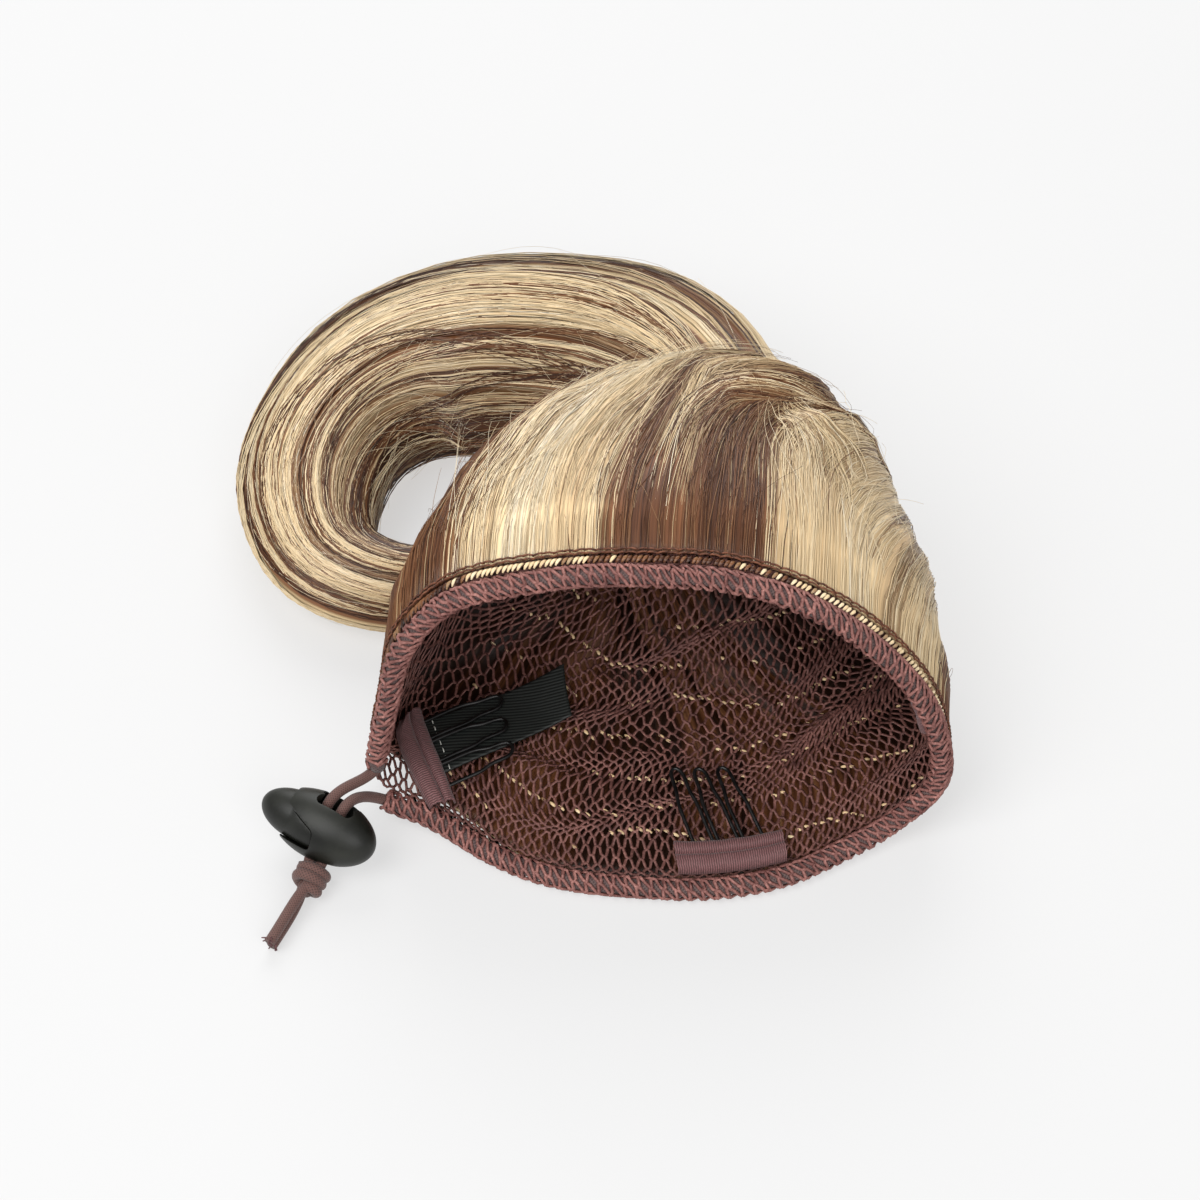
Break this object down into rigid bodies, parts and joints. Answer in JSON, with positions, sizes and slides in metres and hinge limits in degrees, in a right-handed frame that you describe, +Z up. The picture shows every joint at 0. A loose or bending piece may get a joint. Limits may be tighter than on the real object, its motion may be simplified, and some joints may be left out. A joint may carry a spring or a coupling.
{
  "type": "bun hairpiece",
  "caption": "Bun hairpiece: net cap with a drawstring mouth and cord lock, combs sewn inside, streaked hair over the cap and a looped ponytail.",
  "frame": {"origin": "on the floor, on the flat underside of the hair under the middle of the cap's mouth end", "axes": "+X right and +Y away as seen looking into the mouth, +Z up from the floor that the hairpiece lies on"},
  "size_m": [0.1466, 0.1756, 0.0695],
  "materials": {
    "net": "knotted nylon net, plum brown",
    "weft": "stitched weft of brown thread and hair",
    "hair": "straight fine hair in blond and brown streaks, satin sheen",
    "cord": "braided elastic cord, grey plum",
    "lock": "moulded plastic, satin black",
    "comb": "black coated spring wire",
    "tape": "ribbed grosgrain tape, plum",
    "label": "woven black satin, bare"
  },
  "bodies": {
    "hairpiece": {"net_cap": "net", "rim_weft": "weft", "cap_hair": "hair", "ponytail": "hair", "drawstring_loop": "cord", "drawstring_end_a": "cord", "drawstring_end_b": "cord", "drawstring_knot": "cord", "cord_lock_body": "lock", "comb_left": "comb", "comb_tape_left": "tape", "label": "label", "comb_front": "comb", "comb_tape_front": "tape", "comb_right": "comb", "comb_tape_right": "tape"},
    "lock_button": {"cord_lock_plunger": "lock"}
  },
  "joints": [
    {"name": "button_press", "type": "slide", "parent": "hairpiece", "child": "lock_button", "axis": [0.8808, -0.4683, -0.0698], "range_m": [0, 0.0025], "stiffness_N_per_m": 800}
  ]
}
